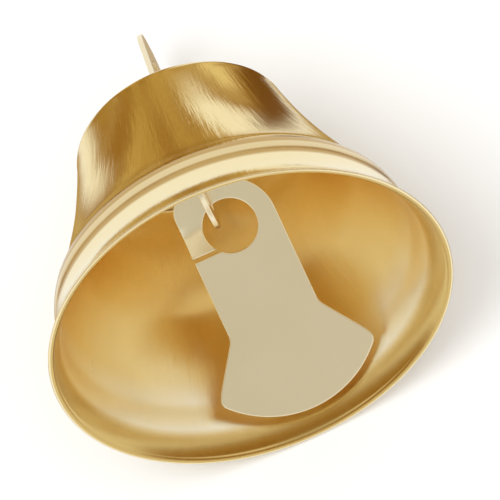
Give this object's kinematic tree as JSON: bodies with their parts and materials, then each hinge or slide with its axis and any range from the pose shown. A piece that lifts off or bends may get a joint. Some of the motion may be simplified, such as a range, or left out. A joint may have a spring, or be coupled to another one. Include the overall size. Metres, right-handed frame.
{
  "type": "small hanging bell",
  "caption": "Small gold-plated bell pressed from thin sheet: conical body, raised ring, flared lip, a flat ear plate sliding in the crown slot and a flat clapper hooked to it.",
  "frame": {"origin": "centre of the mouth, in the plane of the rim", "axes": "+Z along the bell's axis towards the crown; +X along the crown slot, towards the wall the clapper leans on at rest; +Y square to the hanger plate"},
  "size_m": [0.038, 0.038, 0.0353],
  "materials": {
    "shell_plating": "polished",
    "hanger_plating": "polished, as sheared",
    "clapper_plating": "satin, as sheared"
  },
  "bodies": {
    "shell": {"bell_shell": "shell_plating"},
    "hanger": {"hanger": "hanger_plating"},
    "clapper": {"clapper": "clapper_plating"}
  },
  "joints": [
    {"name": "hanger_slide", "type": "slide", "parent": "shell", "child": "hanger", "axis": [0, 0, 1], "range_m": [-0.012, 0]},
    {"name": "clapper_swing", "type": "hinge", "parent": "hanger", "child": "clapper", "pos_m": [0, 0, 0.0164], "axis": [0, -1, 0], "range_deg": [-93.2, 0]}
  ]
}
